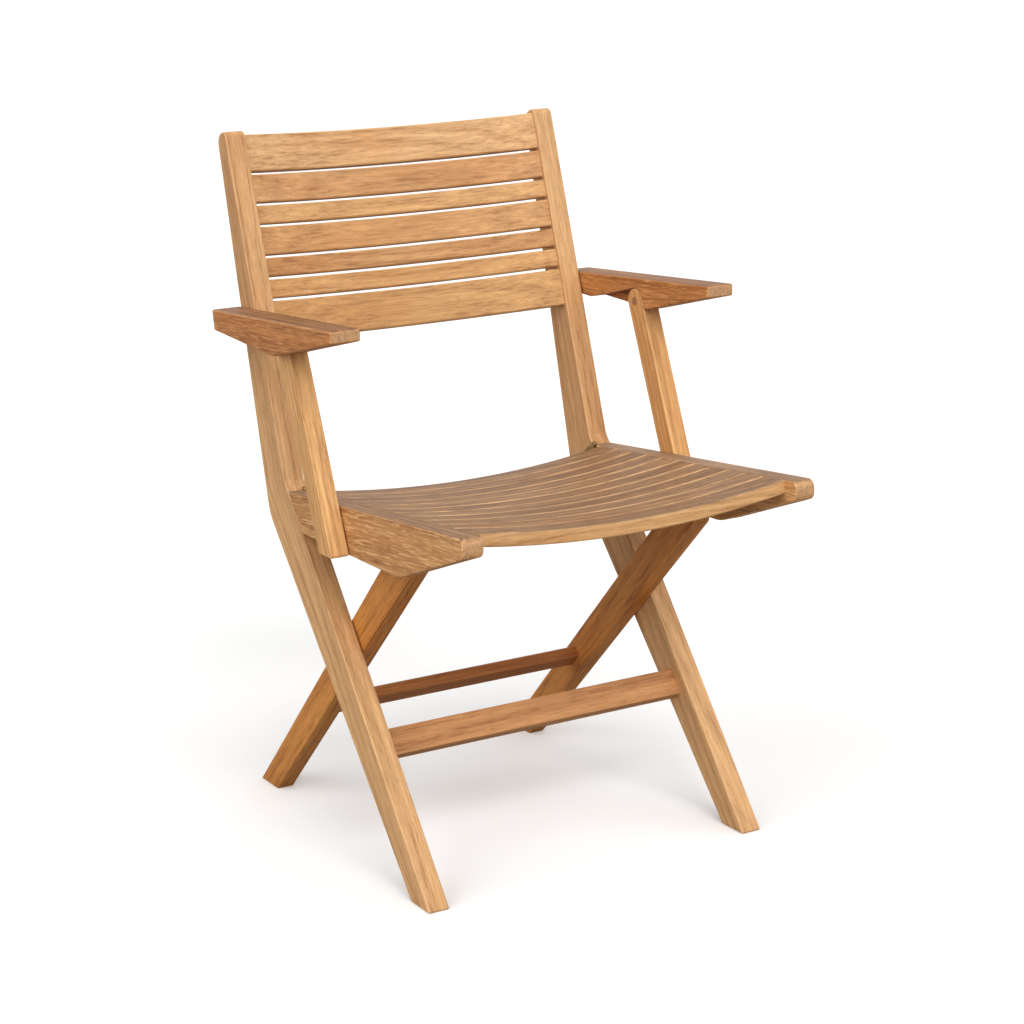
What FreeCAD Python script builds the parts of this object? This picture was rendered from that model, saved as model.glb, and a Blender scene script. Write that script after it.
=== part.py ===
import FreeCAD, Part
import math
import os

import Sketcher

# Folding teak armchair. Millimetres, +Z up, the sitter faces -Y, the floor is Z = 0.
# Heights and depths below are read in the side view (Y, Z); X runs across the chair.

os.makedirs("parts", exist_ok=True)
doc = FreeCAD.newDocument("folding_armchair")
sheet = doc.addObject("Spreadsheet::Sheet", "Dims")

DIMENSIONS = [
    # overall size and timber
    ("total_height", 872.0), ("inner_half", 207.8), ("post_thick", 27.0), ("ease", 2.0),
    ("small_ease", 1.5), ("round_edge", 2.5),
    # post: front edge foot, knee and top, then the rear edge
    ("foot_front_y", -212.4), ("foot_rear_y", -165.8), ("knee_y", 133.0), ("knee_z", 450.8),
    ("top_front_y", 256.2), ("top_rear_y", 280.8), ("top_rear_z", 864.8),
    ("rear_corner_y", 182.7), ("rear_corner_z", 399.8), ("rear_corner_round", 60.0),
    ("top_front_round", 9.0), ("top_rear_round", 14.0),
    # lean of the four working frames, in degrees
    ("back_lean", 16.3), ("front_leg_lean", 37.42), ("rear_leg_lean", 47.04), ("seat_rise", 4.226),
    # back members: distance of each lower edge from the knee along the post, and width
    ("bottom_rail_low", 175.5), ("bottom_rail_wide", 47.9), ("top_rail_low", 386.9),
    ("top_rail_wide", 46.4), ("slat_five_low", 227.6), ("slat_four_low", 254.7),
    ("slat_three_low", 281.7), ("slat_two_low", 320.8), ("slat_one_low", 347.7),
    ("narrow_slat", 22.8), ("wide_slat", 35.0), ("back_recess", 4.0), ("back_thick", 14.0),
    ("rail_back_thick", 16.0), ("back_bow", 20.0), ("tenon_thick", 8.0), ("back_tenon", 10.0),
    ("tenon_inset", 4.0),
    # front stretcher, in the front leg frame
    ("front_bar_low", 201.0), ("front_bar_tall", 34.4), ("front_bar_recess", 17.6),
    ("front_bar_thick", 18.0), ("bar_tenon", 12.0), ("front_tenon_tall", 26.0),
    ("front_tenon_thick", 10.0),
    # rear legs, in their own frame that starts at the front corner of the foot
    ("rear_foot_y", 272.0), ("leg_thick", 24.0), ("leg_gap", 1.2), ("leg_foot_deep", 34.6),
    ("leg_top_deep", 47.5), ("leg_long", 581.0), ("leg_tip_round", 12.0), ("leg_rear_round", 21.0),
    ("fork_along", 571.0), ("fork_across", 22.0), ("fork_slack", 0.6),
    ("rear_bar_low", 176.8), ("rear_bar_tall", 29.0), ("rear_bar_recess", 14.5),
    ("rear_bar_thick", 16.0), ("rear_tenon_tall", 18.0), ("rear_tenon_thick", 9.0),
    ("rear_bar_round", 4.0),
    # seat rails in the side view
    ("hinge_y", 124.0), ("hinge_z", 439.0), ("rail_front_y", -322.7), ("rail_front_top", 472.0),
    ("rail_front_low", 449.0), ("belly_y", -166.0), ("belly_z", 393.5), ("rail_rear_low_y", 89.2),
    ("rail_front_round", 10.0), ("belly_round", 60.0), ("stop_gap", 0.38),
    # seat slats, in the seat frame that starts at the hinge line
    ("slat_first", 18.0), ("rear_slat_wide", 39.0), ("tenon_first", 27.0), ("slat_second", 61.0),
    ("slat_pitch", 36.0), ("slat_wide", 32.0), ("front_slat_wide", 40.0), ("slat_thick", 14.0),
    ("front_slat_thick", 16.0), ("seat_dish", 16.0), ("slat_drop", 0.2), ("slat_tenon", 8.0),
    ("slat_tenon_drop", 2.5),
    # armrests
    ("side_gap", 1.5), ("arm_wide", 39.0), ("arm_rear_y", 233.5), ("arm_top_z", 656.5),
    ("arm_rear_low_y", 229.5), ("arm_rear_low_z", 630.8),
    ("arm_front_y", -103.0), ("arm_front_top", 672.0), ("arm_front_low", 657.5),
    ("arm_belly_y", 57.0), ("arm_belly_z", 621.5), ("arm_belly_round", 40.0),
    ("arm_front_round", 2.5),
    # arm supports
    ("support_thick", 24.0), ("support_half", 16.2), ("support_lean", 20.6), ("support_low_z", 393.5),
    ("support_round", 3.0),
    ("notch_slack", 0.9), ("cheek_slack", 0.7), ("fold_range", 98.0), ("notch_low_z", 610.0),
    ("notch_rear_y", 200.0),
    # pivots in the side view
    ("arm_pin_y", 205.5), ("arm_pin_z", 642.5), ("elbow_y", 61.0), ("elbow_z", 634.5),
    ("link_y", -20.5), ("link_z", 431.0), ("cross_y", 19.6), ("cross_z", 254.7),
    # pins, washers and plugs
    ("pin_radius", 4.0), ("pin_play", 0.05), ("open_play", 0.3), ("pin_post_deep", 16.0),
    ("pin_leg_deep", 18.0), ("pin_arm_deep", 27.0), ("pin_rail_deep", 13.0),
    ("pin_support_deep", 15.5), ("pin_cheek_deep", 9.5), ("pin_end_gap", 0.5),
    ("washer_radius", 9.0), ("washer_thin", 1.1), ("washer_side", 1.4), ("plug_radius", 5.5),
    ("plug_deep", 4.0), ("lock_pin_in", 14.0), ("lock_pin_out", 19.0),
    # strap hinges let into the inner faces of post and seat rail
    ("strap_thick", 2.2), ("strap_half", 3.8), ("strap_play", 0.4), ("strap_split", 0.2),
    ("post_strap_y", 151.0), ("post_strap_z", 418.3), ("seat_strap_y", 93.5), ("seat_strap_z", 419.9),
    ("rivet_radius", 1.8), ("rivet_head_radius", 2.9), ("rivet_head", 1.5), ("head_gap", 0.1),
    ("screw_head", 2.6), ("screw_shank", 1.6), ("screw_cone", 1.6), ("screw_long", 12.0),
    ("screw_near", 0.48), ("screw_far", 0.97),
]

for row, (alias, value) in enumerate(DIMENSIONS, start=1):
    sheet.set("A%d" % row, alias)
    sheet.set("B%d" % row, str(value))
    sheet.setAlias("B%d" % row, alias)
doc.recompute()

YZ = "YZ_Plane"
XZ = "XZ_Plane"
XY = "XY_Plane"
LEFT = -1
RIGHT = 1
SIDES = ((LEFT, "left"), (RIGHT, "right"))
NEAR = 0.6
nodes = []


# Reading the sheet and placing pieces

def value_of(text):
    """Number that an expression over the sheet gives."""
    return float(sheet.evalExpression(text))


def D(name):
    """Expression that names one cell."""
    return "Dims." + name


def frame(origin_y, origin_z, angle):
    """Working frame: turned about X by an angle in degrees, set at a point of the side view."""
    turn = FreeCAD.Rotation(FreeCAD.Vector(1, 0, 0), angle)
    return FreeCAD.Placement(FreeCAD.Vector(0, origin_y, origin_z), turn)


CHAIR = FreeCAD.Placement()
BACK = frame(value_of(D("knee_y")), value_of(D("knee_z")), -value_of(D("back_lean")))
FRONT_LEG = frame(value_of(D("foot_front_y")), 0, -value_of(D("front_leg_lean")))
REAR_LEG = frame(value_of(D("rear_foot_y")), 0, value_of(D("rear_leg_lean")))
SEAT = frame(value_of(D("hinge_y")), value_of(D("hinge_z")), -value_of(D("seat_rise")))


def side_start(side, inner, length):
    """Expression for the lower X end of something that runs outward from an inner face."""
    if side == RIGHT:
        return inner
    return "-(%s) - (%s)" % (inner, length)


# Sketches and bodies

def new_body(label, place):
    body = doc.addObject("PartDesign::Body", "Body")
    body.Label = label
    body.Placement = place
    return body


def sketch_on(body, role, offset):
    """Sketch on one of the body's own origin planes, moved along the plane's normal."""
    plane = [item for item in body.Origin.OriginFeatures if item.Role == role][0]
    sketch = body.newObject("Sketcher::SketchObject", "Sketch")
    sketch.AttachmentSupport = (plane, "")
    sketch.MapMode = "FlatFace"
    sketch.setExpression("AttachmentOffset.Base.z", offset)
    return sketch


def fix_point(sketch, geometry, position, point):
    """Hold one point of a sketch at two expressions from the sketch origin."""
    for kind, text in (("DistanceX", point[0]), ("DistanceY", point[1])):
        index = sketch.addConstraint(
            Sketcher.Constraint(kind, -1, 1, geometry, position, value_of(text)))
        sketch.setExpression("Constraints[%d]" % index, text)


def arc_middle(start, end, radius):
    """Middle of an arc; a positive radius bulges to the right of the way from start to end."""
    chord = end - start
    half = chord.Length / 2
    rise = abs(radius) - math.sqrt(radius * radius - half * half)
    normal = FreeCAD.Vector(chord.y, -chord.x, 0).normalize()
    return (start + end) / 2 + normal * math.copysign(rise, radius)


def outline(sketch, corners, arcs=None):
    """Closed outline through corners given as expressions; arcs maps a segment to its radius."""
    arcs = arcs or {}
    points = [FreeCAD.Vector(value_of(a), value_of(b), 0) for a, b in corners]
    count = len(points)
    starts = []
    ends = []
    for index in range(count):
        start = points[index]
        end = points[(index + 1) % count]
        if index not in arcs:
            starts.append((sketch.addGeometry(Part.LineSegment(start, end)), 1))
            ends.append((starts[-1][0], 2))
            continue
        radius = value_of(arcs[index])
        middle = arc_middle(start, end, radius)
        number = sketch.addGeometry(Part.Arc(start, middle, end))
        first = sketch.getPoint(number, 1)
        forward = (first - start).Length < (first - end).Length
        starts.append((number, 1 if forward else 2))
        ends.append((number, 2 if forward else 1))
        size = "abs(%s)" % arcs[index]
        item = sketch.addConstraint(Sketcher.Constraint("Radius", number, abs(radius)))
        sketch.setExpression("Constraints[%d]" % item, size)
    for index in range(count):
        after = (index + 1) % count
        sketch.addConstraint(Sketcher.Constraint("Coincident", *ends[index], *starts[after]))
        fix_point(sketch, *starts[index], corners[index])


def slot_outline(sketch, first, second, radius):
    """Outline with two round ends of one radius about two points given as expressions."""
    a = FreeCAD.Vector(value_of(first[0]), value_of(first[1]), 0)
    b = FreeCAD.Vector(value_of(second[0]), value_of(second[1]), 0)
    size = value_of(radius)
    along = (b - a).normalize()
    side = FreeCAD.Vector(-along.y, along.x, 0) * size
    round_a = sketch.addGeometry(Part.Arc(a + side, a - along * size, a - side))
    round_b = sketch.addGeometry(Part.Arc(b - side, b + along * size, b + side))
    lower = sketch.addGeometry(Part.LineSegment(a - side, b - side))
    upper = sketch.addGeometry(Part.LineSegment(b + side, a + side))

    def nearest(arc, target):
        return 1 if (sketch.getPoint(arc, 1) - target).Length < NEAR else 2

    for arc, line, position, target in (
            (round_a, lower, 1, a - side), (round_b, lower, 2, b - side),
            (round_b, upper, 1, b + side), (round_a, upper, 2, a + side)):
        sketch.addConstraint(
            Sketcher.Constraint("Tangent", arc, nearest(arc, target), line, position))
    sketch.addConstraint(Sketcher.Constraint("Equal", round_a, round_b))
    item = sketch.addConstraint(Sketcher.Constraint("Radius", round_a, size))
    sketch.setExpression("Constraints[%d]" % item, radius)
    fix_point(sketch, round_a, 3, first)
    fix_point(sketch, round_b, 3, second)


def pad(body, sketch, length, both_ways=False):
    doc.recompute()
    feature = body.newObject("PartDesign::Pad", "Pad")
    feature.Profile = sketch
    feature.setExpression("Length", length)
    if both_ways:
        feature.SideType = "Symmetric"
    doc.recompute()
    return feature


def rounded(body, base, size, chosen, kind="Fillet"):
    """Round or chamfer the edges of a feature that a test picks out."""
    names = ["Edge%d" % number for number, edge in enumerate(base.Shape.Edges, start=1)
             if chosen(edge)]
    feature = body.newObject("PartDesign::" + kind, kind)
    feature.Base = (base, names)
    feature.setExpression("Radius" if kind == "Fillet" else "Size", size)
    doc.recompute()
    return feature


def ends_of(edge):
    return edge.valueAt(edge.FirstParameter), edge.valueAt(edge.LastParameter)


def across(edge):
    """Straight edge that runs along X."""
    a, b = ends_of(edge)
    return abs(a.y - b.y) < NEAR and abs(a.z - b.z) < NEAR and abs(a.x - b.x) > NEAR


def corner_at(y, z):
    """Test for the edge along X that stands at one point of the side view."""
    spot = (value_of(y), value_of(z))

    def test(edge):
        a = ends_of(edge)[0]
        return across(edge) and math.hypot(a.y - spot[0], a.z - spot[1]) < NEAR
    return test


def flat_in_x(edge):
    """Edge that lies in a plane across X, such as the rim of a side face."""
    middle = edge.valueAt((edge.FirstParameter + edge.LastParameter) / 2)
    a, b = ends_of(edge)
    return abs(a.x - b.x) < 0.01 and abs(a.x - middle.x) < 0.01


def slab(label, side, inner, thick, corners, arcs=None, place=CHAIR, rounds=(), ease=D("ease")):
    """Board cut to an outline in the side view, with rounded corners and eased rims."""
    body = new_body(label, place)
    sketch = sketch_on(body, YZ, side_start(side, inner, thick))
    outline(sketch, corners, arcs)
    last = pad(body, sketch, thick)
    for spot, radius in rounds:
        last = rounded(body, last, radius, corner_at(*spot))
    rounded(body, last, ease, flat_in_x)
    return body


def bowed(label, role, offset, width, thick, bow, face, tenon, inset, place, ease):
    """Member that curves between two frames, with a straight tenon at each end.

    face is the height of the front face at the ends; the curve bends away from it."""
    body = new_body(label, place)
    half = D("inner_half")
    end = "(%s + %s)" % (half, tenon)
    turn = -1 if role == XZ else 1
    sign = "-" if role == XZ else ""
    near = "%s(%s)" % (sign, face)
    far = "%s(%s + %s)" % (sign, face, thick)
    high = "%s(%s + %s)" % (sign, face, inset)
    low = "%s(%s + %s + %s)" % (sign, face, inset, D("tenon_thick"))
    corners = [("-" + end, high), ("-" + half, high), ("-" + half, near), (half, near), (half, high),
               (end, high), (end, low), (half, low), (half, far), ("-" + half, far),
               ("-" + half, low), ("-" + end, low)]
    radius = "((%s ^ 2 + %s ^ 2) / (2 * %s))" % (half, bow, bow)
    arcs = {2: "%s%s" % ("-" if turn > 0 else "", radius), 8: "%s%s" % ("" if turn > 0 else "-", radius)}
    sketch = sketch_on(body, role, offset)
    outline(sketch, corners, arcs)
    last = pad(body, sketch, width)
    limit = value_of(half) - 1

    def long_edge(edge):
        a, b = ends_of(edge)
        return abs(a.x - b.x) > limit and edge.Length > 2 * limit

    rounded(body, last, ease, long_edge, "Chamfer")
    return body


def bar(label, place, low, tall, recess, thick, tenon_tall, tenon_thick, half, ease):
    """Straight stretcher between two legs with a smaller tenon at each end."""
    body = new_body(label, place)
    sketch = sketch_on(body, YZ, "0")
    right = "(%s + %s)" % (recess, thick)
    top = "(%s + %s)" % (low, tall)
    outline(sketch, [(recess, low), (right, low), (right, top), (recess, top)])
    last = pad(body, sketch, "2 * (%s)" % half, both_ways=True)
    last = rounded(body, last, ease, across)
    core = sketch_on(body, YZ, "0")
    a = "(%s + (%s - %s) / 2)" % (recess, thick, tenon_thick)
    b = "(%s + %s)" % (a, tenon_thick)
    c = "(%s + (%s - %s) / 2)" % (low, tall, tenon_tall)
    d = "(%s + %s)" % (c, tenon_tall)
    outline(core, [(a, c), (b, c), (b, d), (a, d)])
    pad(body, core, "2 * (%s + %s)" % (half, D("bar_tenon")), both_ways=True)
    return body


# Cutting tools and round metal pieces

def rod(side, inner, length, y, z, radius):
    """Round bar along X that starts at an inner X and runs outward on one side."""
    item = doc.addObject("Part::Cylinder", "Rod")
    item.setExpression("Radius", radius)
    item.setExpression("Height", length)
    item.Placement = FreeCAD.Placement(
        FreeCAD.Vector(0, 0, 0), FreeCAD.Rotation(FreeCAD.Vector(0, 1, 0), 90))
    item.setExpression("Placement.Base.x", side_start(side, inner, length))
    item.setExpression("Placement.Base.y", y)
    item.setExpression("Placement.Base.z", z)
    return item


def block(side, inner, length, y, z, deep, tall, place):
    """Box that starts at an inner X on one side, laid in a working frame."""
    item = doc.addObject("Part::Box", "Block")
    item.setExpression("Length", length)
    item.setExpression("Width", deep)
    item.setExpression("Height", tall)
    spot = FreeCAD.Vector(value_of(side_start(side, inner, length)), value_of(y), value_of(z))
    item.Placement = place.multiply(FreeCAD.Placement(spot, FreeCAD.Rotation()))
    return item


def strap(label, side, inner, thick, far_y, far_z, half):
    """Plate with round ends from the hinge line to a second point."""
    body = new_body(label, CHAIR)
    sketch = sketch_on(body, YZ, side_start(side, inner, thick))
    slot_outline(sketch, (D("hinge_y"), D("hinge_z")), (far_y, far_z), half)
    pad(body, sketch, thick)
    return body


def cut(label, base, tools):
    """Take a group of tools out of a piece and name what is left."""
    group = doc.addObject("Part::Compound", "Tools")
    group.Links = tools
    item = doc.addObject("Part::Cut", "Cut")
    item.Base = base
    item.Tool = group
    item.Label = label
    doc.recompute()
    if not item.Shape.Volume < base.Shape.Volume - 1:
        raise ValueError("nothing was cut from " + label)
    return item


def grouped(label, pieces):
    item = doc.addObject("Part::Compound", "Group")
    item.Links = pieces
    item.Label = label
    return item


def keep(item):
    nodes.append(item)
    return item


def plus(*names):
    return "(" + " + ".join(D(name) for name in names) + ")"


INNER = D("inner_half")
OUTER = plus("inner_half", "post_thick")
SIDE_FACE = plus("inner_half", "post_thick", "side_gap")
LEG_FACE = "(%s - %s)" % (INNER, D("leg_gap"))
LEG_INNER = "(%s - %s - %s)" % (INNER, D("leg_gap"), D("leg_thick"))
PIN = D("pin_radius")
RUNNING = plus("pin_radius", "pin_play")
OPEN = plus("pin_radius", "open_play")
END = D("pin_end_gap")
FORK = (D("fork_across"), D("fork_along"), D("rear_leg_lean"))
LOCK = ("(%s + %s * cos(%s) - %s * sin(%s))" % (D("rear_foot_y"), FORK[0], FORK[2], FORK[1], FORK[2]),
        "(%s * sin(%s) + %s * cos(%s))" % (FORK[0], FORK[2], FORK[1], FORK[2]))

# Back members from the lowest to the highest: name, lower edge, width, thickness
BACK_MEMBERS = [
    ("back_bottom_rail", "bottom_rail_low", "bottom_rail_wide", "rail_back_thick"),
    ("back_slat_5", "slat_five_low", "narrow_slat", "back_thick"),
    ("back_slat_4", "slat_four_low", "narrow_slat", "back_thick"),
    ("back_slat_3", "slat_three_low", "wide_slat", "back_thick"),
    ("back_slat_2", "slat_two_low", "narrow_slat", "back_thick"),
    ("back_slat_1", "slat_one_low", "wide_slat", "back_thick"),
    ("back_top_rail", "top_rail_low", "top_rail_wide", "rail_back_thick"),
]

for label, low, wide, thick in BACK_MEMBERS:
    keep(bowed(label, XY, D(low), D(wide), D(thick), D("back_bow"), D("back_recess"),
               D("back_tenon"), D("tenon_inset"), BACK, D("small_ease")))

keep(bar("front_stretcher", FRONT_LEG, D("front_bar_low"), D("front_bar_tall"),
         D("front_bar_recess"), D("front_bar_thick"), D("front_tenon_tall"),
         D("front_tenon_thick"), INNER, D("small_ease")))
keep(bar("rear_stretcher", REAR_LEG, D("rear_bar_low"), D("rear_bar_tall"),
         D("rear_bar_recess"), D("rear_bar_thick"), D("rear_tenon_tall"),
         D("rear_tenon_thick"), LEG_INNER, D("rear_bar_round")))


# Strap hinges: screws stand at fixed shares of the way along each strap

def screws_along(side, inner, thick, far_y, far_z):
    """Countersunk screws through one strap, heads flush with its inner face."""
    made = []
    for share in (D("screw_near"), D("screw_far")):
        y = "(%s + (%s - %s) * %s)" % (D("hinge_y"), far_y, D("hinge_y"), share)
        z = "(%s + (%s - %s) * %s)" % (D("hinge_z"), far_z, D("hinge_z"), share)
        shank = rod(side, inner, D("screw_long"), y, z, D("screw_shank"))
        head = doc.addObject("Part::Cone", "Head")
        head.setExpression("Radius1", D("screw_head"))
        head.setExpression("Radius2", D("screw_shank"))
        head.setExpression("Height", D("screw_cone"))
        turn = FreeCAD.Rotation(FreeCAD.Vector(0, 1, 0), 90 * side)
        spot = FreeCAD.Vector(side * value_of(inner), value_of(y), value_of(z))
        head.Placement = FreeCAD.Placement(spot, turn)
        screw = doc.addObject("Part::Fuse", "Screw")
        screw.Base = shank
        screw.Tool = head
        made.append(screw)
    return made


POST_STRAP = (D("post_strap_y"), D("post_strap_z"))
SEAT_STRAP = (D("seat_strap_y"), D("seat_strap_z"))
SEAT_STRAP_X = plus("inner_half", "strap_thick", "strap_split")
RIVET_SEAT = "(%s + %s)" % (SEAT_STRAP_X, D("strap_thick"))
EYE_POCKET = "(2 * %s + %s + %s)" % (D("strap_thick"), D("strap_split"), D("strap_play"))
post_screws = {}
seat_screws = {}
post_straps = []
seat_straps = []
rivets = []
for side, word in SIDES:
    post_screws[side] = screws_along(side, INNER, D("strap_thick"), *POST_STRAP)
    seat_screws[side] = screws_along(side, SEAT_STRAP_X, D("strap_thick"), *SEAT_STRAP)
    rivet_hole = rod(side, INNER, D("strap_thick"), D("hinge_y"), D("hinge_z"), D("rivet_radius"))
    blank = strap("post strap blank", side, INNER, D("strap_thick"), *POST_STRAP, D("strap_half"))
    post_straps.append(cut("post strap " + word, blank, [rivet_hole] + post_screws[side]))
    run_hole = rod(side, SEAT_STRAP_X, D("strap_thick"), D("hinge_y"), D("hinge_z"),
                   plus("rivet_radius", "pin_play"))
    blank = strap("seat strap blank", side, SEAT_STRAP_X, D("strap_thick"), *SEAT_STRAP,
                  D("strap_half"))
    seat_straps.append(cut("seat strap " + word, blank, [run_hole] + seat_screws[side]))
    shank = rod(side, INNER, "(2 * %s + %s + %s)" % (D("strap_thick"), D("strap_split"), D("head_gap")),
                D("hinge_y"), D("hinge_z"), D("rivet_radius"))
    head = rod(side, "(%s + %s)" % (RIVET_SEAT, D("head_gap")), D("rivet_head"), D("hinge_y"), D("hinge_z"),
               D("rivet_head_radius"))
    rivet = doc.addObject("Part::Fuse", "Rivet")
    rivet.Base = shank
    rivet.Tool = head
    rivets.append(rivet)

keep(grouped("post_hinge_straps", post_straps))
keep(grouped("seat_hinge_straps", seat_straps))
keep(grouped("hinge_rivets", rivets))
keep(grouped("post_hinge_screws", post_screws[LEFT] + post_screws[RIGHT]))
keep(grouped("seat_hinge_screws", seat_screws[LEFT] + seat_screws[RIGHT]))


def eye_pockets(side):
    """Round recesses on the hinge line, for the strap eyes and for the rivet head."""
    eye = rod(side, INNER, EYE_POCKET, D("hinge_y"), D("hinge_z"), plus("strap_half", "strap_play"))
    rivet_room = "(%s + %s + %s)" % (EYE_POCKET, D("rivet_head"), D("strap_play"))
    head = rod(side, INNER, rivet_room, D("hinge_y"), D("hinge_z"),
               plus("rivet_head_radius", "strap_play"))
    return [eye, head]


# Posts: one bent board each side, from the front foot up to the top of the back

POST_CORNERS = [
    (D("foot_front_y"), "0"), (D("foot_rear_y"), "0"), (D("rear_corner_y"), D("rear_corner_z")),
    (D("top_rear_y"), D("top_rear_z")), (D("top_front_y"), D("total_height")),
    (D("knee_y"), D("knee_z")),
]
POST_ROUNDS = [
    ((D("rear_corner_y"), D("rear_corner_z")), D("rear_corner_round")),
    ((D("top_rear_y"), D("top_rear_z")), D("top_rear_round")),
    ((D("top_front_y"), D("total_height")), D("top_front_round")),
    ((D("foot_front_y"), "0"), D("ease")), ((D("foot_rear_y"), "0"), D("ease")),
]
for side, word in SIDES:
    blank = slab("post blank", side, INNER, D("post_thick"), POST_CORNERS, rounds=POST_ROUNDS)
    tools = []
    for label, low, wide, thick in BACK_MEMBERS:
        tools.append(block(side, INNER, D("back_tenon"), plus("back_recess", "tenon_inset"), D(low),
                           D("tenon_thick"), D(wide), BACK))
    a = "(%s + (%s - %s) / 2)" % (D("front_bar_recess"), D("front_bar_thick"), D("front_tenon_thick"))
    c = "(%s + (%s - %s) / 2)" % (D("front_bar_low"), D("front_bar_tall"), D("front_tenon_tall"))
    tools.append(block(side, INNER, D("bar_tenon"), a, c, D("front_tenon_thick"),
                       D("front_tenon_tall"), FRONT_LEG))
    tools.append(strap("post recess", side, INNER, D("strap_thick"), *POST_STRAP, D("strap_half")))
    for turned in (0, value_of(D("fold_range"))):
        room = strap("strap room", side, INNER, EYE_POCKET, *SEAT_STRAP,
                     plus("strap_half", "strap_play"))
        room.Placement = FreeCAD.Placement(
            FreeCAD.Vector(), FreeCAD.Rotation(FreeCAD.Vector(-1, 0, 0), turned), SEAT.Base)
        tools.append(room)
    tools += eye_pockets(side) + post_screws[side]
    tools.append(rod(side, INNER, D("pin_post_deep"), D("cross_y"), D("cross_z"), PIN))
    arm_hole = "(%s - %s)" % (OUTER, D("pin_post_deep"))
    tools.append(rod(side, arm_hole, D("pin_post_deep"), D("arm_pin_y"), D("arm_pin_z"), PIN))
    keep(cut("post_" + word, blank, tools))

# Seat rails: the sloped rear end stops against the post, the underside has a belly

RAIL_CORNERS = [
    ("(%s - %s)" % (D("hinge_y"), D("stop_gap")), D("hinge_z")), (D("rail_front_y"), D("rail_front_top")),
    (D("rail_front_y"), D("rail_front_low")), (D("belly_y"), D("belly_z")),
    ("(%s - %s)" % (D("rail_rear_low_y"), D("stop_gap")), D("belly_z")),
]
RAIL_ROUNDS = [
    ((D("rail_front_y"), D("rail_front_top")), D("rail_front_round")),
    ((D("rail_front_y"), D("rail_front_low")), D("rail_front_round")),
    ((D("belly_y"), D("belly_z")), D("belly_round")),
]
SEAT_SLATS = []
for number in range(9):
    start = "(%s + %d * %s)" % (D("slat_second"), number, D("slat_pitch"))
    SEAT_SLATS.append(("seat_slat_%02d" % (number + 2), start, D("slat_wide"), D("slat_thick")))
SEAT_SLATS.append(("seat_slat_11", "(%s + 9 * %s)" % (D("slat_second"), D("slat_pitch")),
                   D("front_slat_wide"), D("front_slat_thick")))



def tenon_room(side, start, wide):
    """Room of a slat tenon in the rail of one side."""
    depth = "-(%s + %s + %s)" % (D("slat_drop"), D("slat_tenon_drop"), D("tenon_thick"))
    return block(side, INNER, D("slat_tenon"), "-(%s + %s)" % (start, wide), depth, wide,
                 D("tenon_thick"), SEAT)


def seat_slat(label, start, wide, thick):
    return bowed(label, XZ, start, wide, thick, D("seat_dish"), D("slat_drop"), D("slat_tenon"),
                 D("slat_tenon_drop"), SEAT, D("small_ease"))


# The rear slat reaches past its tenons, over the eyes of the strap hinges
SHOULDER = "(%s - %s)" % (D("tenon_first"), D("slat_first"))
REAR_TENON = "(%s - %s)" % (D("rear_slat_wide"), SHOULDER)
rear_blank = seat_slat("rear slat blank", D("slat_first"), D("rear_slat_wide"), D("slat_thick"))
shoulders = [tenon_room(side, D("slat_first"), SHOULDER) for side, word in SIDES]
keep(cut("seat_slat_01", rear_blank, shoulders))
for label, start, wide, thick in SEAT_SLATS:
    keep(seat_slat(label, start, wide, thick))

for side, word in SIDES:
    blank = slab("seat rail blank", side, INNER, D("post_thick"), RAIL_CORNERS, rounds=RAIL_ROUNDS)
    tools = []
    tools.append(tenon_room(side, D("tenon_first"), REAR_TENON))
    for label, start, wide, thick in SEAT_SLATS:
        tools.append(tenon_room(side, start, wide))
    tools.append(strap("seat recess", side, INNER, EYE_POCKET, *SEAT_STRAP,
                       plus("strap_half", "strap_play")))
    tools += eye_pockets(side) + seat_screws[side]
    link_hole = "(%s - %s)" % (OUTER, D("pin_rail_deep"))
    tools.append(rod(side, link_hole, D("pin_rail_deep"), D("link_y"), D("link_z"), PIN))
    tools.append(rod(side, INNER, D("lock_pin_in"), *LOCK, PIN))
    keep(cut("seat_rail_" + word, blank, tools))

# Rear legs: tapered boards whose upper end is an open fork

LEG_CORNERS = [
    ("0", "0"), (D("leg_foot_deep"), "-%s * tan(%s)" % (D("leg_foot_deep"), D("rear_leg_lean"))),
    (D("leg_top_deep"), D("leg_long")), ("0", D("leg_long")),
]
LEG_ROUNDS = [((D("leg_top_deep"), D("leg_long")), D("leg_rear_round")),
              (("0", D("leg_long")), D("leg_tip_round"))]
for side, word in SIDES:
    blank = slab("rear leg blank", side, LEG_INNER, D("leg_thick"), LEG_CORNERS, place=REAR_LEG,
                 rounds=LEG_ROUNDS)
    slot_half = plus("pin_radius", "fork_slack")
    mouth = block(side, LEG_INNER, D("leg_thick"), "(%s - %s)" % (D("fork_across"), slot_half),
                  D("fork_along"), "2 * " + slot_half, D("leg_tip_round"), REAR_LEG)
    seatbed = rod(side, LEG_INNER, D("leg_thick"), *LOCK, slot_half)
    a = "(%s + (%s - %s) / 2)" % (D("rear_bar_recess"), D("rear_bar_thick"), D("rear_tenon_thick"))
    c = "(%s + (%s - %s) / 2)" % (D("rear_bar_low"), D("rear_bar_tall"), D("rear_tenon_tall"))
    mortise = block(side, LEG_INNER, D("bar_tenon"), a, c, D("rear_tenon_thick"),
                    D("rear_tenon_tall"), REAR_LEG)
    pin_start = "(%s - %s - %s)" % (LEG_FACE, D("pin_leg_deep"), END)
    pivot = rod(side, pin_start, plus("pin_leg_deep", "pin_end_gap"), D("cross_y"), D("cross_z"),
                RUNNING)
    keep(cut("rear_leg_" + word, blank, [mouth, seatbed, mortise, pivot]))

# Armrests: straight top that rises to the front, notched inside for the folding support

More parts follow.
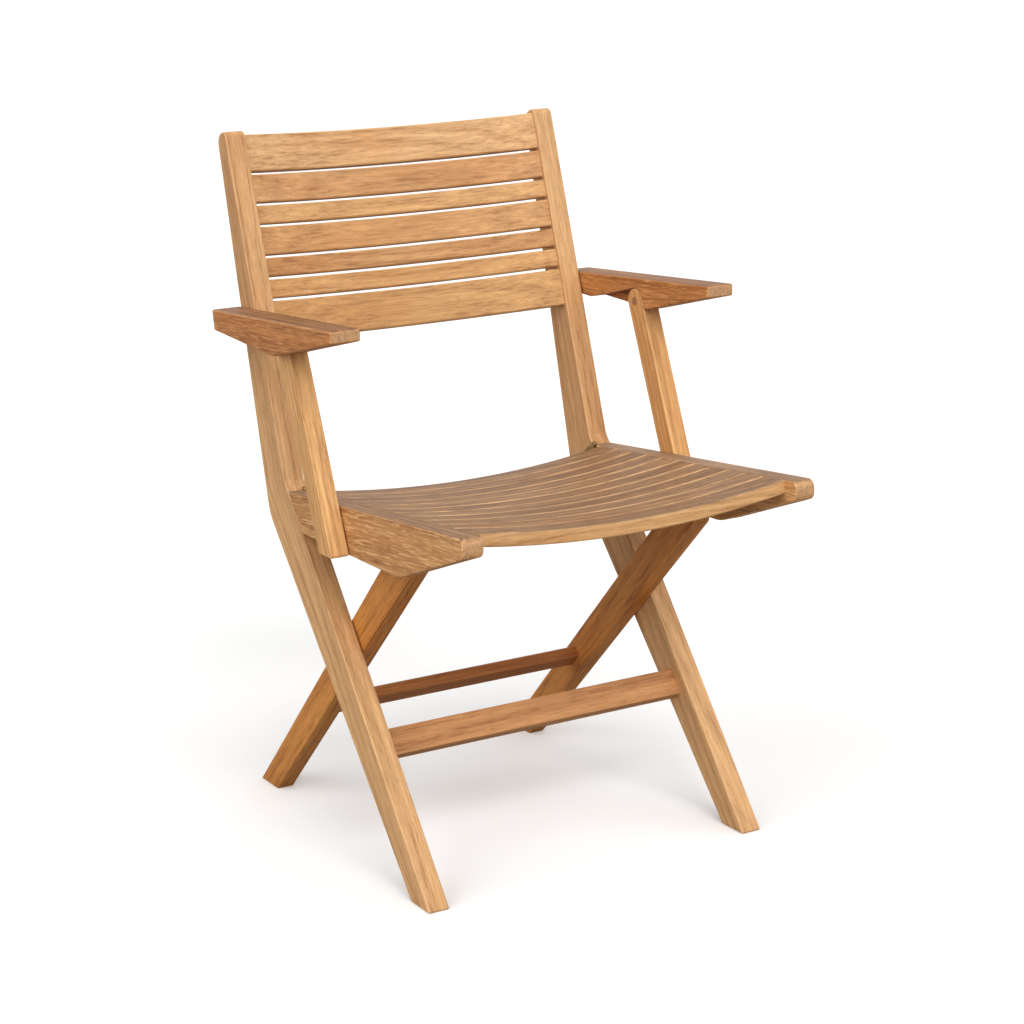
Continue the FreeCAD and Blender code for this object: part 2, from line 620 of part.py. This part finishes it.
ARM_CORNERS = [
    (D("arm_rear_y"), D("arm_top_z")), (D("arm_front_y"), D("arm_front_top")),
    (D("arm_front_y"), D("arm_front_low")), (D("arm_belly_y"), D("arm_belly_z")),
    (D("arm_rear_low_y"), D("arm_rear_low_z")),
]
ARM_ROUNDS = [((D("arm_belly_y"), D("arm_belly_z")), D("arm_belly_round")),
              ((D("arm_front_y"), D("arm_front_top")), D("arm_front_round")),
              ((D("arm_front_y"), D("arm_front_low")), D("arm_front_round")),
              ((D("arm_rear_y"), D("arm_top_z")), D("arm_front_round"))]
ROOM = plus("support_half", "notch_slack")
NOTCH_WIDE = plus("support_thick", "cheek_slack")
FOLDED = "(90 - %s - %s + 90)" % (D("fold_range"), "(90 - %s)" % D("support_lean"))


def around_elbow(angle):
    """Point at the notch radius round the elbow pin; the angle is from straight up to the rear."""
    return ("(%s + %s * sin(%s))" % (D("elbow_y"), ROOM, angle),
            "(%s + %s * cos(%s))" % (D("elbow_z"), ROOM, angle))


REST_ANGLE = "(%s - 90)" % D("support_lean")
NOTCH_TOP = around_elbow(FOLDED)
NOTCH_FRONT = around_elbow(REST_ANGLE)
NOTCH_CORNERS = [
    (D("notch_rear_y"), "(%s - (%s - %s) * tan(%s))" % (NOTCH_TOP[1], D("notch_rear_y"),
                                                        NOTCH_TOP[0], FOLDED)),
    NOTCH_TOP, NOTCH_FRONT,
    ("(%s - (%s - %s) * tan(%s))" % (NOTCH_FRONT[0], NOTCH_FRONT[1], D("notch_low_z"),
                                     D("support_lean")), D("notch_low_z")),
    (D("notch_rear_y"), D("notch_low_z")),
]
for side, word in SIDES:
    blank = slab("armrest blank", side, SIDE_FACE, D("arm_wide"), ARM_CORNERS,
                 rounds=ARM_ROUNDS, ease=D("round_edge"))
    notch = new_body("notch", CHAIR)
    sketch = sketch_on(notch, YZ, side_start(side, SIDE_FACE, NOTCH_WIDE))
    outline(sketch, NOTCH_CORNERS, {1: ROOM})
    pad(notch, sketch, NOTCH_WIDE)
    pin_hole = rod(side, SIDE_FACE, plus("pin_arm_deep", "pin_end_gap"), D("arm_pin_y"),
                   D("arm_pin_z"), RUNNING)
    cheek = "(%s + %s)" % (SIDE_FACE, NOTCH_WIDE)
    elbow_hole = rod(side, cheek, D("pin_cheek_deep"), D("elbow_y"), D("elbow_z"), PIN)
    keep(cut("armrest_" + word, blank, [notch, pin_hole, elbow_hole]))

# Arm supports: straight bars, round about the elbow and cut level at the lower end

HALF_COS = "%s * cos(%s)" % (D("support_half"), D("support_lean"))
HALF_SIN = "%s * sin(%s)" % (D("support_half"), D("support_lean"))
FRONT_TANGENT = ("(%s - %s)" % (D("elbow_y"), HALF_COS), "(%s + %s)" % (D("elbow_z"), HALF_SIN))
REAR_TANGENT = ("(%s + %s)" % (D("elbow_y"), HALF_COS), "(%s - %s)" % (D("elbow_z"), HALF_SIN))
SUPPORT_TOP = ("(%s + %s)" % (D("elbow_y"), HALF_SIN), "(%s + %s)" % (D("elbow_z"), HALF_COS))


def down_to_foot(point):
    """Where the edge of the support that starts at a point meets the level of its lower end."""
    run = "(%s - %s) * tan(%s)" % (point[1], D("support_low_z"), D("support_lean"))
    return ("(%s - %s)" % (point[0], run), D("support_low_z"))


FRONT_FOOT = down_to_foot(FRONT_TANGENT)
REAR_FOOT = down_to_foot(REAR_TANGENT)
SUPPORT_CORNERS = [FRONT_TANGENT, SUPPORT_TOP, REAR_TANGENT, REAR_FOOT, FRONT_FOOT]
SUPPORT_ARCS = {0: "-" + D("support_half"), 1: "-" + D("support_half")}
SUPPORT_ROUNDS = [(FRONT_FOOT, D("support_round")), (REAR_FOOT, D("support_round"))]
for side, word in SIDES:
    blank = slab("support blank", side, SIDE_FACE, D("support_thick"), SUPPORT_CORNERS, SUPPORT_ARCS,
                 rounds=SUPPORT_ROUNDS)
    elbow_run = rod(side, SIDE_FACE, D("support_thick"), D("elbow_y"), D("elbow_z"), RUNNING)
    plug_seat = rod(side, SIDE_FACE, D("plug_deep"), D("elbow_y"), D("elbow_z"), D("plug_radius"))
    link_run = rod(side, SIDE_FACE, plus("pin_support_deep", "pin_end_gap"), D("link_y"),
                   D("link_z"), OPEN)
    keep(cut("arm_support_" + word, blank, [elbow_run, plug_seat, link_run]))
    plug = rod(side, SIDE_FACE, D("plug_deep"), D("elbow_y"), D("elbow_z"), D("plug_radius"))
    plug.Label = "elbow_plug_" + word
    keep(plug)
    pin_start = "(%s + %s + %s)" % (SIDE_FACE, D("plug_deep"), END)
    pin_length = "(%s - %s - %s + %s)" % (NOTCH_WIDE, D("plug_deep"), END, D("pin_cheek_deep"))
    pin = rod(side, pin_start, pin_length, D("elbow_y"), D("elbow_z"), PIN)
    pin.Label = "elbow_pin_" + word
    keep(pin)


# Pins and washers of the other pivots, one of each on either side

def washer(side, inner, thin, y, z):
    ring = rod(side, inner, thin, y, z, D("washer_radius"))
    bore = rod(side, inner, thin, y, z, RUNNING)
    return cut("washer", ring, [bore])


def both(label, maker):
    return keep(grouped(label, [maker(side) for side, word in SIDES]))


def cross_pin(side):
    start = "(%s - %s)" % (LEG_FACE, D("pin_leg_deep"))
    length = plus("pin_leg_deep", "leg_gap", "pin_post_deep")
    return rod(side, start, length, D("cross_y"), D("cross_z"), PIN)


def arm_pin(side):
    start = "(%s - %s)" % (OUTER, D("pin_post_deep"))
    length = plus("pin_post_deep", "side_gap", "pin_arm_deep")
    return rod(side, start, length, D("arm_pin_y"), D("arm_pin_z"), PIN)


def link_pin(side):
    start = "(%s - %s)" % (OUTER, D("pin_rail_deep"))
    length = plus("pin_rail_deep", "side_gap", "pin_support_deep")
    return rod(side, start, length, D("link_y"), D("link_z"), PIN)


def lock_pin(side):
    start = "(%s - %s)" % (INNER, D("lock_pin_out"))
    return rod(side, start, plus("lock_pin_out", "lock_pin_in"), *LOCK, PIN)


def leg_washer(side):
    start = "(%s - (%s + %s) / 2)" % (INNER, D("leg_gap"), D("washer_thin"))
    return washer(side, start, D("washer_thin"), D("cross_y"), D("cross_z"))


def arm_washer(side):
    start = "(%s + (%s - %s) / 2)" % (OUTER, D("side_gap"), D("washer_side"))
    return washer(side, start, D("washer_side"), D("arm_pin_y"), D("arm_pin_z"))


def link_washer(side):
    start = "(%s + (%s - %s) / 2)" % (OUTER, D("side_gap"), D("washer_side"))
    return washer(side, start, D("washer_side"), D("link_y"), D("link_z"))


both("leg_pivot_pins", cross_pin)
both("arm_pivot_pins", arm_pin)
both("support_link_pins", link_pin)
both("seat_lock_pins", lock_pin)
both("leg_pivot_washers", leg_washer)
both("arm_pivot_washers", arm_washer)
both("support_link_washers", link_washer)

doc.recompute()
bad = [item.Label for item in doc.Objects if "Invalid" in item.State or "Error" in item.State]
for item in nodes:
    if item.Shape.isNull() or not item.Shape.isValid():
        bad.append(item.Label)
if bad:
    raise ValueError("failed pieces: " + ", ".join(bad))

for item in nodes:
    item.Shape.exportStep("parts/%s.step" % item.Label)
print(len(nodes), "nodes")
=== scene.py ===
import math

import bpy
from mathutils import Matrix, Vector

# Looks of the folding teak armchair: oiled teak with its grain along each board, a pale floor
# and soft studio light. Metres, the sitter faces -Y.

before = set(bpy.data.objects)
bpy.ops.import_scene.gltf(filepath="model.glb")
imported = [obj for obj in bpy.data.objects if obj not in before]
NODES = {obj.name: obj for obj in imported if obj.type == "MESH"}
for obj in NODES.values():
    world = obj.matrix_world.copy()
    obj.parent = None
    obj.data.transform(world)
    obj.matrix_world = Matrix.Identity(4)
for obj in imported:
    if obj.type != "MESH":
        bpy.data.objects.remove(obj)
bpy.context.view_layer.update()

# Turn in degrees, in the side view, that stands each board upright: its grain is then along Z
BACK_TURN = 16.3
FRONT_LEG_TURN = 37.4
REAR_LEG_TURN = -47.0
SEAT_TURN = 94.2
ARM_TURN = 92.6
SUPPORT_TURN = 20.6

# Knee of the posts, about which grain is turned, and how far below and above it they bend
KNEE = (0.0, 0.133, 0.4508)
BEND_BELOW = 0.03
BEND_ABOVE = 0.01

# Colours of the pieces, linear
HONEY = (0.60, 0.335, 0.145)
SUPPORT = (0.65, 0.350, 0.133)
RAIL = (0.51, 0.250, 0.090)
RAIL_TOP = (0.295, 0.158, 0.074)
SLAT = (0.58, 0.345, 0.170)
FRONT_SLAT = (0.57, 0.315, 0.130)
SLAT_TOP = (0.290, 0.147, 0.061)
ARM = (0.45, 0.178, 0.050)
ARM_TOP = (0.275, 0.120, 0.044)
REAR = (0.54, 0.214, 0.043)
REAR_BAR = (0.37, 0.132, 0.034)
FRONT_BAR = (0.49, 0.225, 0.082)
PLUG = (0.30, 0.14, 0.06)
END = (0.47, 0.262, 0.125)
BACK = {
    "back_top_rail": (0.64, 0.365, 0.165), "back_slat_1": (0.57, 0.300, 0.125),
    "back_slat_2": (0.60, 0.325, 0.130), "back_slat_3": (0.57, 0.300, 0.120),
    "back_slat_4": (0.53, 0.275, 0.110), "back_slat_5": (0.58, 0.310, 0.120),
    "back_bottom_rail": (0.56, 0.300, 0.115),
}
BRASS_DARK = (0.30, 0.17, 0.07)
BRASS_LIGHT = (0.52, 0.33, 0.14)

# Growth rings across a board, and the parts that rings, fibres and flecks have in its tone
RING_WAVES = 150.0
RING_SHARE, FIBRE_SHARE, FLECK_SHARE = 0.10, 0.50, 0.40

# Stops of the tone from dark grain to pale grain
DARK_STOP, HALF_STOP, LIGHT_STOP, PALE_STOP = 0.37, 0.46, 0.53, 0.64


# Colours and node trees

def shade(colour, amount):
    """Colour made lighter or darker."""
    return tuple(channel * amount for channel in colour)


def tint(colour, amounts):
    """Colour with each channel changed by its own amount."""
    return tuple(channel * amount for channel, amount in zip(colour, amounts))


class Tree:
    """Short names for making and joining shader nodes."""

    def __init__(self, owner):
        owner.use_nodes = True
        self.tree = owner.node_tree
        self.tree.nodes.clear()

    def add(self, kind, **settings):
        node = self.tree.nodes.new(kind)
        for name, value in settings.items():
            setattr(node, name, value)
        return node

    def put(self, socket, value):
        """Join a socket to another one, or set its value."""
        if isinstance(value, bpy.types.NodeSocket):
            self.tree.links.new(value, socket)
        else:
            socket.default_value = value

    def maths(self, operation, first, second=0.0):
        node = self.add("ShaderNodeMath", operation=operation)
        self.put(node.inputs[0], first)
        self.put(node.inputs[1], second)
        return node.outputs[0]

    def mix(self, factor, first, second, blend="MIX"):
        """Mix of two colours, each a socket or three channels."""
        node = self.add("ShaderNodeMix", data_type="RGBA", blend_type=blend)
        self.put(node.inputs["Factor"], factor)
        for name, value in (("A", first), ("B", second)):
            self.put(node.inputs[name], (*value, 1) if isinstance(value, tuple) else value)
        return node.outputs["Result"]

    def split(self, vector):
        """The X, Y and Z outputs of a vector."""
        node = self.add("ShaderNodeSeparateXYZ")
        self.put(node.inputs[0], vector)
        return node.outputs

    def stretch(self, vector, scale=(1, 1, 1), offset=(0, 0, 0), lean=0.0):
        """Vector turned about X by a lean in degrees, scaled and moved."""
        node = self.add("ShaderNodeMapping")
        self.put(node.inputs["Vector"], vector)
        node.inputs["Location"].default_value = offset
        node.inputs["Rotation"].default_value = (math.radians(lean), 0, 0)
        node.inputs["Scale"].default_value = scale
        return node.outputs["Vector"]

    def noise(self, vector, scale, detail=4.0, rough=0.55, distortion=0.0):
        node = self.add("ShaderNodeTexNoise")
        self.put(node.inputs["Vector"], vector)
        node.inputs["Scale"].default_value = scale
        node.inputs["Detail"].default_value = detail
        node.inputs["Roughness"].default_value = rough
        node.inputs["Distortion"].default_value = distortion
        return node.outputs["Fac"]

    def ramp(self, factor, stops):
        """Colour ramp through stops of a place and three channels."""
        node = self.add("ShaderNodeValToRGB")
        self.put(node.inputs["Fac"], factor)
        band = node.color_ramp
        while len(band.elements) < len(stops):
            band.elements.new(0.5)
        for element, (place, colour) in zip(band.elements, stops):
            element.position = place
            element.color = (*colour, 1)
        return node.outputs["Color"]

    def grey(self, factor, low, high):
        """Factor spread so that low gives 0 and high gives 1."""
        node = self.add("ShaderNodeMapRange", clamp=True)
        self.put(node.inputs["Value"], factor)
        node.inputs["From Min"].default_value = low
        node.inputs["From Max"].default_value = high
        return node.outputs["Result"]

    def bump(self, height, strength, distance):
        node = self.add("ShaderNodeBump")
        node.inputs["Strength"].default_value = strength
        node.inputs["Distance"].default_value = distance
        self.put(node.inputs["Height"], height)
        return node.outputs["Normal"]


def turned_about(t, point, centre, lean):
    """Point seen from a centre after the lean in the side view is taken out."""
    moved = t.add("ShaderNodeVectorMath", operation="SUBTRACT")
    t.put(moved.inputs[0], point)
    moved.inputs[1].default_value = centre
    return t.stretch(moved.outputs[0], lean=lean)


def facing(t, normal, axis, low, high):
    """How nearly a face looks along an axis, from 0 to 1."""
    dot = t.add("ShaderNodeVectorMath", operation="DOT_PRODUCT")
    t.put(dot.inputs[0], normal)
    dot.inputs[1].default_value = axis
    return t.grey(t.maths("ABSOLUTE", dot.outputs["Value"]), low, high)


def rounded_edge(t, normal, lean):
    """How far a face turns away from the board's own six faces: 1 on a rounded edge."""
    largest = 0.0
    for part in t.split(t.stretch(normal, lean=lean)):
        largest = t.maths("MAXIMUM", t.maths("ABSOLUTE", part), largest)
    return t.grey(largest, 0.95, 0.80)


# Materials

def teak(name, light, seed, along="Z", lean=0.0, worn=None, above=None, contrast=1.0, limed=0.0,
         end=END):
    """Teak board: grain along one axis, seen after the lean in the side view is taken out.

    worn is the colour of faces that look up; above is the lean of a bent board over its knee;
    limed is how strongly pale lines stand in the grain; end is the colour of the cut ends."""
    material = bpy.data.materials.new(name)
    t = Tree(material)
    where = t.add("ShaderNodeTexCoord")
    point = where.outputs["Object"]
    normal = where.outputs["Normal"]
    turned = turned_about(t, point, KNEE, lean)
    edge = rounded_edge(t, normal, lean)
    if above is not None:
        share = t.grey(t.split(point)["Z"], KNEE[2] - BEND_BELOW, KNEE[2] + BEND_ABOVE)
        turned = t.mix(share, turned, turned_about(t, point, KNEE, above))
        edge = t.maths("MINIMUM", edge, rounded_edge(t, normal, above))
    shift = ((seed * 0.731) % 1.7, (seed * 1.313) % 2.3, (seed * 0.477) % 1.9)

    def along_grain(share):
        return t.stretch(turned, (share, 1, 1) if along == "X" else (1, 1, share), shift)

    # figure: growth rings cut lengthwise, straight fibres, short dark pores, broad patches
    swell = t.noise(along_grain(0.045), 7.0, 2.0, 0.45, 0.2)
    rings = t.grey(t.maths("SINE", t.maths("MULTIPLY", swell, RING_WAVES)), -1.0, 1.0)
    fibre = t.noise(along_grain(0.022), 240.0, 5.0, 0.66)
    flecks = t.noise(along_grain(0.085), 420.0, 3.0, 0.6)
    pores = t.noise(along_grain(0.06), 700.0, 2.0, 0.5)
    patch = t.noise(along_grain(0.16), 16.0, 4.0, 0.55, 0.5)
    hole = t.grey(pores, 0.39, 0.31)

    # long faces
    tone = t.maths("ADD", t.maths("MULTIPLY", rings, RING_SHARE),
                   t.maths("ADD", t.maths("MULTIPLY", fibre, FIBRE_SHARE),
                           t.maths("MULTIPLY", flecks, FLECK_SHARE)))
    dark = tint(light, [1 - drop * contrast for drop in (0.34, 0.44, 0.54)])
    pale = tint(light, [1 + gain * contrast for gain in (0.20, 0.27, 0.36)])
    colour = t.ramp(tone, [(DARK_STOP, dark), (HALF_STOP, shade(light, 0.90)),
                           (LIGHT_STOP, light), (PALE_STOP, pale)])
    redder = t.mix(1.0, colour, (0.90, 0.80, 0.70), "MULTIPLY")
    colour = t.mix(t.grey(patch, 0.45, 0.68), colour, redder)
    if limed:
        dashes = t.noise(along_grain(0.055), 560.0, 2.0, 0.6)
        line = t.maths("MULTIPLY", t.grey(dashes, 0.54, 0.62), limed)
        colour = t.mix(line, colour, tint(light, (1.55, 1.85, 2.3)))
    colour = t.mix(t.maths("MULTIPLY", hole, 0.40 * contrast), colour, shade(dark, 0.55))

    # end grain: fine specks, greyer than the long faces
    turn = math.radians(lean)
    axis = (1, 0, 0) if along == "X" else (0, math.sin(turn), math.cos(turn))
    specks = t.noise(t.stretch(turned, (1, 0.35, 1), shift), 560.0, 4.0, 0.7)
    cut_end = t.ramp(specks, [(0.36, shade(end, 0.74)), (0.5, end), (0.62, shade(end, 1.22))])
    colour = t.mix(facing(t, normal, axis, 0.80, 0.96), colour, cut_end)

    # faces that look up, faded by sun and use
    if worn:
        worn = shade(worn, 0.88 + 0.24 * ((seed * 0.381) % 1.0))
        up = t.grey(t.split(normal)["Z"], 0.50, 0.90)
        base = t.mix(t.grey(patch, 0.36, 0.62), tint(worn, (1.04, 1.12, 1.25)), worn)
        band = t.ramp(tone, [(0.37, (0.52, 0.48, 0.45)), (0.47, (0.88, 0.86, 0.84)),
                             (0.54, (1.05, 1.05, 1.05)), (0.64, (1.48, 1.52, 1.56))])
        faded = t.mix(1.0, base, band, "MULTIPLY")
        faded = t.mix(t.maths("MULTIPLY", hole, 0.55), faded, shade(worn, 0.22))
        colour = t.mix(up, colour, faded)

    # edges rubbed smoother in places and made paler there: the paleness is partly rubbed wear
    # and partly a painted highlight along the rounded edges
    rubbed_and_highlit_edge = t.maths("MULTIPLY", edge, t.grey(patch, 0.34, 0.58))
    # paler colour of the worn edges, which is also their painted highlight
    paler_rubbed_highlight = t.mix(1.0, colour, (1.22, 1.30, 1.42), "MULTIPLY")
    colour = t.mix(rubbed_and_highlit_edge, colour, paler_rubbed_highlight)

    rough = t.maths("ADD", 0.42, t.maths("MULTIPLY", fibre, 0.30))
    rough = t.maths("SUBTRACT", rough, t.maths("MULTIPLY", rubbed_and_highlit_edge, 0.14))
    height = t.maths("SUBTRACT", t.maths("MULTIPLY", fibre, 0.6), t.maths("MULTIPLY", hole, 0.5))

    shader = t.add("ShaderNodeBsdfPrincipled")
    t.put(shader.inputs["Base Color"], colour)
    t.put(shader.inputs["Roughness"], rough)
    t.put(shader.inputs["Normal"], t.bump(height, 0.25, 0.0010))
    shader.inputs["Specular IOR Level"].default_value = 0.35
    output = t.add("ShaderNodeOutputMaterial")
    t.put(output.inputs["Surface"], shader.outputs["BSDF"])
    return material


def brass(name):
    """Dull aged brass of the hinges, pins and washers."""
    material = bpy.data.materials.new(name)
    t = Tree(material)
    where = t.add("ShaderNodeTexCoord").outputs["Object"]
    smear = t.noise(where, 90.0, 5.0)
    brush = t.noise(t.stretch(where, (1, 1, 0.05)), 900.0, 2.0)
    shader = t.add("ShaderNodeBsdfPrincipled")
    t.put(shader.inputs["Base Color"], t.ramp(smear, [(0.35, BRASS_DARK), (0.6, BRASS_LIGHT)]))
    shader.inputs["Metallic"].default_value = 1.0
    t.put(shader.inputs["Roughness"], t.maths("ADD", 0.28, t.maths("MULTIPLY", smear, 0.25)))
    t.put(shader.inputs["Normal"], t.bump(brush, 0.1, 0.0003))
    output = t.add("ShaderNodeOutputMaterial")
    t.put(output.inputs["Surface"], shader.outputs["BSDF"])
    return material


def board_of(name):
    """Settings of the teak of a piece, or None for metal."""
    if name in BACK:
        return dict(light=BACK[name], along="X", lean=BACK_TURN)
    if name in ("post_left", "post_right"):
        return dict(light=HONEY, lean=FRONT_LEG_TURN, above=BACK_TURN)
    if name == "front_stretcher":
        return dict(light=FRONT_BAR, along="X", lean=FRONT_LEG_TURN)
    if name == "rear_stretcher":
        return dict(light=REAR_BAR, along="X", lean=REAR_LEG_TURN)
    if name.startswith("rear_leg"):
        return dict(light=REAR, lean=REAR_LEG_TURN, contrast=1.2)
    if name.startswith("seat_rail"):
        return dict(light=RAIL, lean=SEAT_TURN, worn=RAIL_TOP, contrast=1.2, limed=0.75)
    if name == "seat_slat_11":
        return dict(light=FRONT_SLAT, along="X", worn=SLAT_TOP)
    if name.startswith("seat_slat"):
        return dict(light=SLAT, along="X", worn=SLAT_TOP)
    if name.startswith("armrest"):
        return dict(light=ARM, lean=ARM_TURN, worn=ARM_TOP, contrast=1.2, limed=0.60)
    if name.startswith("arm_support"):
        return dict(light=SUPPORT, lean=SUPPORT_TURN)
    if name.startswith("elbow_plug"):
        return dict(light=PLUG, along="X", end=PLUG)
    return None


metal = brass("brass")
for seed, name in enumerate(sorted(NODES), start=2):
    board = board_of(name)
    material = teak("teak_" + name, seed=float(seed), **board) if board else metal
    NODES[name].data.materials.clear()
    NODES[name].data.materials.append(material)


# Floor, light and camera

def floor_material():
    """Matt white to the eye, half as bright as a bounce, so that undersides stay dark."""
    material = bpy.data.materials.new("floor")
    t = Tree(material)
    cloud = t.noise(t.add("ShaderNodeTexCoord").outputs["Object"], 1.3, 3.0)
    eye = t.add("ShaderNodeLightPath").outputs["Is Camera Ray"]
    white = t.ramp(cloud, [(0.3, (0.93, 0.93, 0.93)), (0.7, (0.95, 0.95, 0.95))])
    dim = t.ramp(cloud, [(0.3, (0.34, 0.33, 0.32)), (0.7, (0.38, 0.37, 0.36))])
    shader = t.add("ShaderNodeBsdfDiffuse")
    t.put(shader.inputs["Color"], t.mix(eye, dim, white))
    lift = t.add("ShaderNodeEmission")
    lift.inputs["Color"].default_value = (1, 1, 1, 1)
    t.put(lift.inputs["Strength"], t.maths("MULTIPLY", eye, 0.10))
    both = t.add("ShaderNodeAddShader")
    t.put(both.inputs[0], shader.outputs["BSDF"])
    t.put(both.inputs[1], lift.outputs["Emission"])
    output = t.add("ShaderNodeOutputMaterial")
    t.put(output.inputs["Surface"], both.outputs["Shader"])
    return material


FLOOR_HALF = 120.0
mesh = bpy.data.meshes.new("floor")
mesh.from_pydata([(-FLOOR_HALF, -FLOOR_HALF, 0), (FLOOR_HALF, -FLOOR_HALF, 0),
                  (FLOOR_HALF, FLOOR_HALF, 0), (-FLOOR_HALF, FLOOR_HALF, 0)], [], [(0, 1, 2, 3)])
floor = bpy.data.objects.new("floor", mesh)
bpy.context.scene.collection.objects.link(floor)
floor.data.materials.append(floor_material())


def studio_world():
    """Soft light from all round; the eye and reflections see it white."""
    world = bpy.data.worlds.new("studio")
    t = Tree(world)
    path = t.add("ShaderNodeLightPath")
    seen = t.maths("MAXIMUM", path.outputs["Is Camera Ray"], path.outputs["Is Glossy Ray"])
    choose = t.add("ShaderNodeMixShader")
    t.put(choose.inputs["Fac"], seen)
    for place, colour, strength in ((1, (1.0, 0.99, 0.97, 1), 0.48), (2, (1, 1, 1, 1), 1.0)):
        light = t.add("ShaderNodeBackground")
        light.inputs["Color"].default_value = colour
        light.inputs["Strength"].default_value = strength
        t.put(choose.inputs[place], light.outputs[0])
    t.put(t.add("ShaderNodeOutputWorld").inputs["Surface"], choose.outputs[0])
    return world


def soft_sun(name, side, rise, spread, strength):
    """Even light from one side: side is its compass turn from the sitter's front, in degrees."""
    lamp = bpy.data.lights.new(name, "SUN")
    lamp.angle = math.radians(spread)
    lamp.energy = strength
    holder = bpy.data.objects.new(name, lamp)
    bpy.context.scene.collection.objects.link(holder)
    turn, lift = math.radians(side), math.radians(rise)
    source = Vector((math.sin(turn) * math.cos(lift), -math.cos(turn) * math.cos(lift),
                     math.sin(lift)))
    holder.rotation_mode = "QUATERNION"
    holder.rotation_quaternion = source.to_track_quat("Z", "Y")


bpy.context.scene.world = studio_world()
soft_sun("key", -8, 36, 40, 1.9)
soft_sun("fill", -80, 25, 60, 1.45)
soft_sun("side", 60, 35, 60, 0.5)

# The camera repeats the photograph's: where it stands, its turn, its tilt and its lens
CAMERA_PLACE = (-1.4097, -2.5007, 1.1101)
AZIMUTH = math.radians(29.608)
PITCH = math.radians(13.843)
ROLL = math.radians(-1.757)
LENS_PIXELS = 2388.8
IMAGE_PIXELS = 1024
SENSOR_WIDTH = 36.0

ahead = Vector((math.sin(AZIMUTH) * math.cos(PITCH), math.cos(AZIMUTH) * math.cos(PITCH),
                -math.sin(PITCH)))
level = Vector((math.cos(AZIMUTH), -math.sin(AZIMUTH), 0))
raised = level.cross(ahead)
across = math.cos(ROLL) * level + math.sin(ROLL) * raised
upward = -math.sin(ROLL) * level + math.cos(ROLL) * raised
turn = Matrix((across, upward, -ahead)).transposed()
lens = bpy.data.cameras.new("camera")
lens.sensor_width = SENSOR_WIDTH
lens.lens = LENS_PIXELS / IMAGE_PIXELS * SENSOR_WIDTH
lens.dof.use_dof = False
camera = bpy.data.objects.new("camera", lens)
bpy.context.scene.collection.objects.link(camera)
camera.matrix_world = Matrix.Translation(CAMERA_PLACE) @ turn.to_4x4()
bpy.context.scene.camera = camera
bpy.context.scene.view_settings.view_transform = "Standard"
